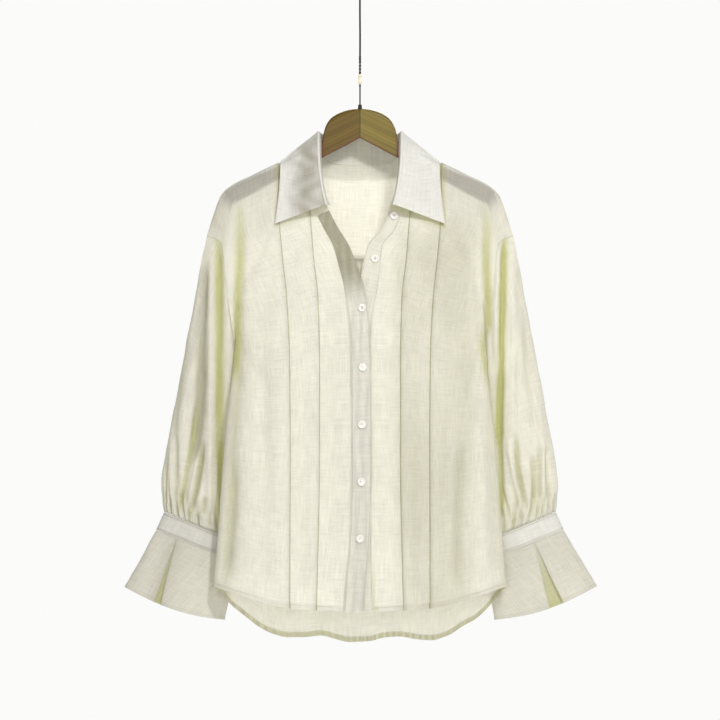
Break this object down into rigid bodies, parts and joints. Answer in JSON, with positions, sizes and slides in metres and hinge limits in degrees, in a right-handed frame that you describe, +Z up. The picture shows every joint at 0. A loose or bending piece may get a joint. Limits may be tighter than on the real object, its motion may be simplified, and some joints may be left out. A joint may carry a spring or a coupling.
{
  "type": "blouse on a wooden hanger",
  "caption": "Relaxed long-sleeved linen blouse with a pointed collar, front tucks and flared pleated cuffs, hanging open at the neck on a wooden hanger.",
  "frame": {"origin": "where the hanger's hook is held, at the top of its eye", "axes": "+Z up, -Y the way the blouse's front faces, +X towards the wearer's left sleeve"},
  "size_m": [0.7128, 0.1381, 1.0011],
  "materials": {
    "linen": "thin ivory slub linen, slightly see-through",
    "pearl": "pearly white shirt button",
    "wood": "satin lacquered light wood",
    "steel": "dark wire"
  },
  "bodies": {
    "root": {"front_right": "linen", "front_left": "linen", "placket_right": "linen", "placket_left": "linen", "back": "linen", "back_yoke": "linen", "collar_stand": "linen", "collar_leaf": "linen", "sleeve_right": "linen", "sleeve_left": "linen", "cuff_band_right": "linen", "cuff_band_left": "linen", "cuff_flare_right": "linen", "cuff_flare_left": "linen", "button_1": "pearl", "button_2": "pearl", "button_3": "pearl", "button_4": "pearl", "button_5": "pearl", "button_6": "pearl", "button_7": "pearl", "hanger_arm_right": "wood", "hanger_arm_left": "wood", "hanger_ferrule": "steel", "hanger_hook": "steel"}
  },
  "joints": []
}
